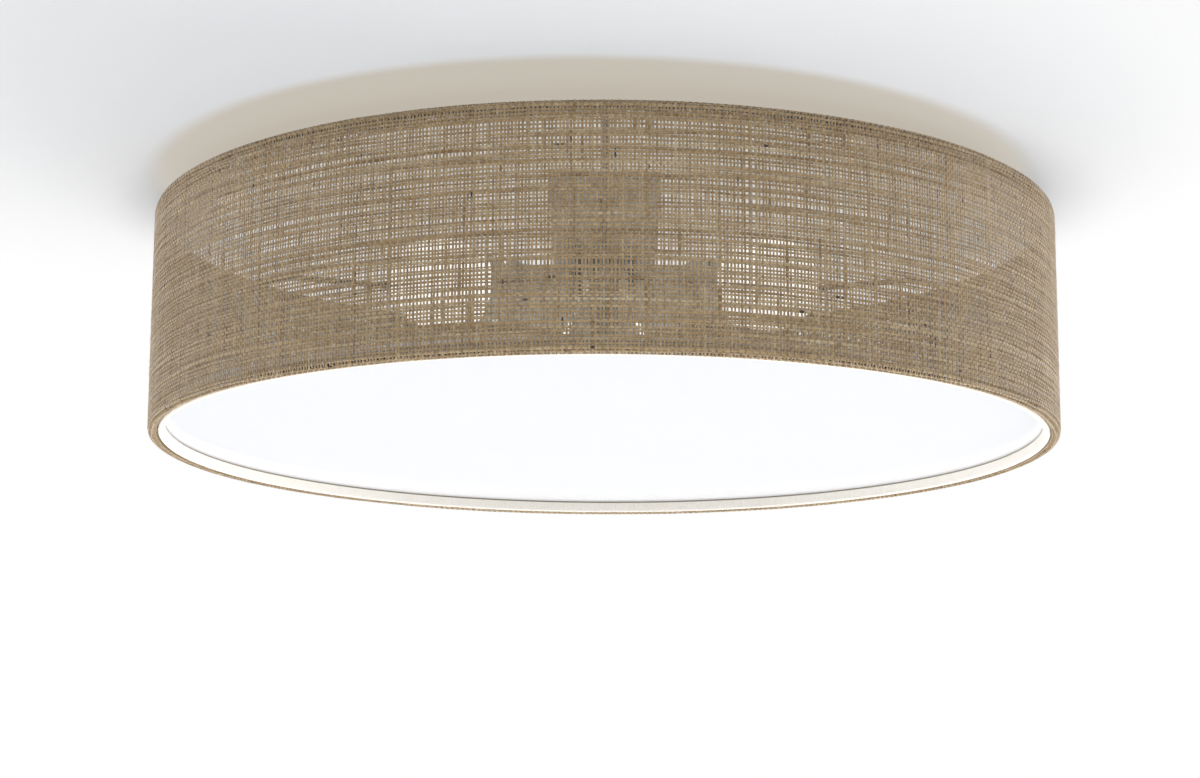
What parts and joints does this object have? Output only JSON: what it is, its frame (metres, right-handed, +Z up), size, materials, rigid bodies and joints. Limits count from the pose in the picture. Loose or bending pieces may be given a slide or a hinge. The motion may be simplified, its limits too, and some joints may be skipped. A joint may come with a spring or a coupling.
{
  "type": "flush mount ceiling light",
  "caption": "Flush ceiling light with an open-weave jute drum shade on a three-arm spider, a loose opal diffuser disc, a slim steel canopy and screw-in lamps.",
  "frame": {"origin": "centre of the crossbar's face against the ceiling", "axes": "+Z up into the ceiling; +Y along the canopy, away from the viewer of the picture; +X to the right"},
  "size_m": [0.6, 0.6, 0.155],
  "materials": {
    "black_glass": "dark glass",
    "black_rubber": "moulded",
    "brass": "plain brass",
    "clear_film": "clear gloss film",
    "cream_ring": "fine cream cloth tape",
    "jute": "open plain weave",
    "lacquered_wire": "dark brown lacquer",
    "lamp_housing": "moulded satin",
    "nickel_brass": "bright nickel",
    "opal_acrylic": "opal gloss",
    "opal_globe": "opal satin",
    "plated_wire": "zinc-plated wire",
    "terminal_plastic": "moulded",
    "white_powder_coat": "fine powder coat",
    "white_thermoplastic": "moulded satin",
    "wire_blue": "insulation",
    "wire_brown": "insulation",
    "wire_green": "insulation",
    "zinc_steel": "bright zinc"
  },
  "bodies": {
    "canopy": {"bracket_screws": "zinc_steel", "canopy_nut": "zinc_steel", "canopy_tray": "white_powder_coat", "canopy_washer": "zinc_steel", "ceiling_crossbar": "zinc_steel", "crimp_sleeves": "brass", "earth_lug": "brass", "earth_screw": "zinc_steel", "earth_wire": "wire_green", "holder_bracket_1": "zinc_steel", "holder_bracket_2": "zinc_steel", "holder_bracket_3": "zinc_steel", "holder_nipples": "zinc_steel", "holder_nuts": "zinc_steel", "lampholder_body_1": "white_thermoplastic", "lampholder_body_2": "white_thermoplastic", "lampholder_body_3": "white_thermoplastic", "lampholder_liner_1": "brass", "lampholder_liner_2": "brass", "lampholder_liner_3": "brass", "lampholder_tongue_1": "brass", "lampholder_tongue_2": "brass", "lampholder_tongue_3": "brass", "stem_locknut": "zinc_steel", "terminal_block": "terminal_plastic", "terminal_fixing_screw": "zinc_steel", "terminal_inserts": "brass", "terminal_screws": "zinc_steel", "threaded_stem": "zinc_steel", "wire_grommets": "black_rubber", "wires_live": "wire_brown", "wires_neutral": "wire_blue"},
    "shade": {"jute_cover": "jute", "shade_film": "clear_film", "shade_top_ring": "lacquered_wire", "shade_bottom_ring": "lacquered_wire", "seat_ring": "cream_ring", "spider_hub": "plated_wire", "spider_arm_1": "plated_wire", "spider_arm_2": "plated_wire", "spider_arm_3": "plated_wire"},
    "shade_nut": {"shade_nut": "nickel_brass"},
    "diffuser": {"diffuser_disc": "opal_acrylic"},
    "lamp_1": {"lamp_cap_1": "nickel_brass", "lamp_insulator_1": "black_glass", "lamp_contact_1": "nickel_brass", "lamp_base_1": "lamp_housing", "lamp_globe_1": "opal_globe"},
    "lamp_2": {"lamp_cap_2": "nickel_brass", "lamp_insulator_2": "black_glass", "lamp_contact_2": "nickel_brass", "lamp_base_2": "lamp_housing", "lamp_globe_2": "opal_globe"},
    "lamp_3": {"lamp_cap_3": "nickel_brass", "lamp_insulator_3": "black_glass", "lamp_contact_3": "nickel_brass", "lamp_base_3": "lamp_housing", "lamp_globe_3": "opal_globe"}
  },
  "joints": [
    {"name": "nut_turn", "type": "hinge", "parent": "shade", "child": "shade_nut", "pos_m": [0, 0, -0.0347], "axis": [0, 0, 1], "range_deg": [0, 6480]},
    {"name": "shade_lower", "type": "slide", "parent": "canopy", "child": "shade", "axis": [0, 0, -1], "range_m": [0, 0.018]},
    {"name": "diffuser_lift", "type": "slide", "parent": "shade", "child": "diffuser", "axis": [0, 0, 1], "range_m": [0, 0.05]},
    {"name": "lamp_1_unscrew", "type": "hinge", "parent": "canopy", "child": "lamp_1", "pos_m": [0, 0.06, -0.058], "axis": [0, 1, 0], "range_deg": [0, 900]},
    {"name": "lamp_2_unscrew", "type": "hinge", "parent": "canopy", "child": "lamp_2", "pos_m": [-0.05196, -0.03, -0.058], "axis": [-0.866, -0.5, 0], "range_deg": [0, 900]},
    {"name": "lamp_3_unscrew", "type": "hinge", "parent": "canopy", "child": "lamp_3", "pos_m": [0.05196, -0.03, -0.058], "axis": [0.866, -0.5, 0], "range_deg": [0, 900]}
  ],
  "couplings": [
    {"joint": "nut_turn", "follows": "shade_lower", "rad_per_m": 6283.2}
  ]
}
